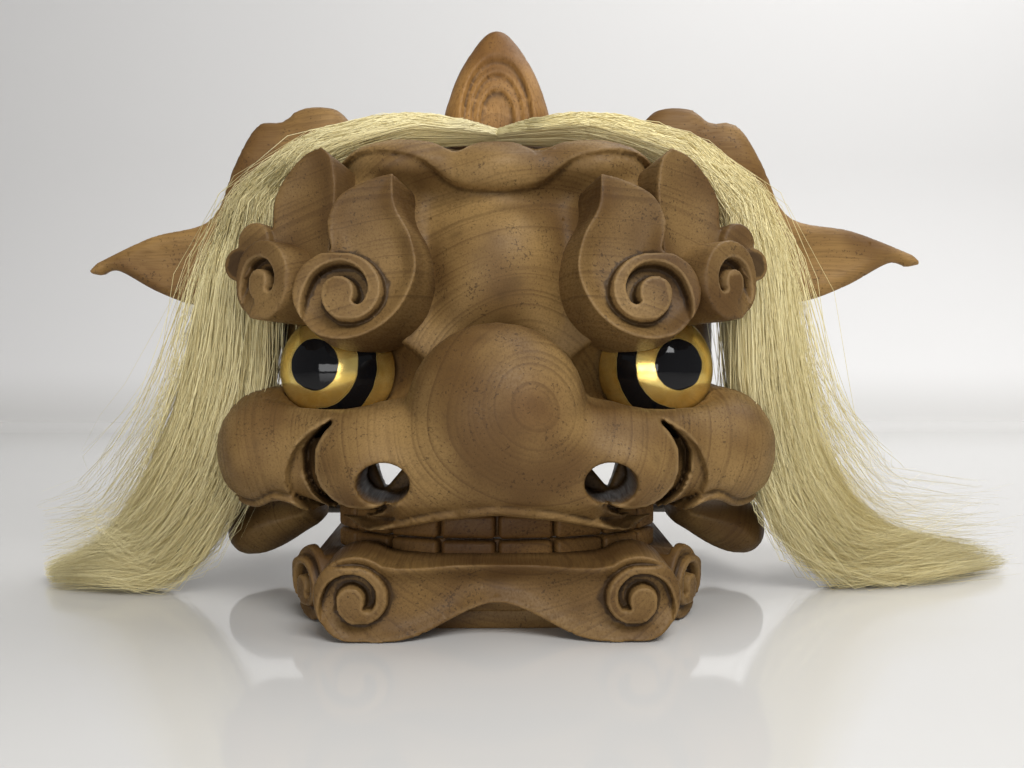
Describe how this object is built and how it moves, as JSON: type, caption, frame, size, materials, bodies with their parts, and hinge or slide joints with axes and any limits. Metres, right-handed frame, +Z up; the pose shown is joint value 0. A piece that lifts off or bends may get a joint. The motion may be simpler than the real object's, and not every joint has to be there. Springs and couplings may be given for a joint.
{
  "type": "lion dance head",
  "caption": "Carved wooden lion dance head with a hollow back, hinged lower jaw, scrolled brows, gilded eyes, leaf-shaped ears, a bud horn and a parted horsehair mane.",
  "frame": {"origin": "on the flat base of the lower jaw, where the head rests on a table, midway between the sides", "axes": "-Y is the way the lion looks, +Z up, +X towards the lion's own left"},
  "size_m": [0.6369, 0.281, 0.358],
  "materials": {
    "carved_wood": "bare carved wood, smoothed, with growth rings",
    "pale_wood": "bare carved wood, slightly paler",
    "gilt": "gold leaf over wood with glossy black pupil and ring",
    "horsehair": "long cream horsehair",
    "pin_metal": "dull iron pin"
  },
  "bodies": {
    "jaw": {"lower_jaw": "carved_wood", "lower_teeth": "carved_wood"},
    "head": {"head_shell": "carved_wood", "upper_teeth": "carved_wood", "horn": "pale_wood", "eye_left": "gilt", "eye_right": "gilt", "brow_inner_left": "carved_wood", "brow_inner_right": "carved_wood", "brow_outer_left": "carved_wood", "brow_outer_right": "carved_wood", "ear_left": "pale_wood", "ear_right": "pale_wood", "jowl_left": "carved_wood", "jowl_right": "carved_wood", "hinge_pin_left": "pin_metal", "hinge_pin_right": "pin_metal", "mane_left": "horsehair", "mane_right": "horsehair"}
  },
  "joints": [
    {"name": "jaw_hinge", "type": "hinge", "parent": "jaw", "child": "head", "pos_m": [0, 0.105, 0.034], "axis": [-1, 0, 0], "range_deg": [0, 30]}
  ]
}
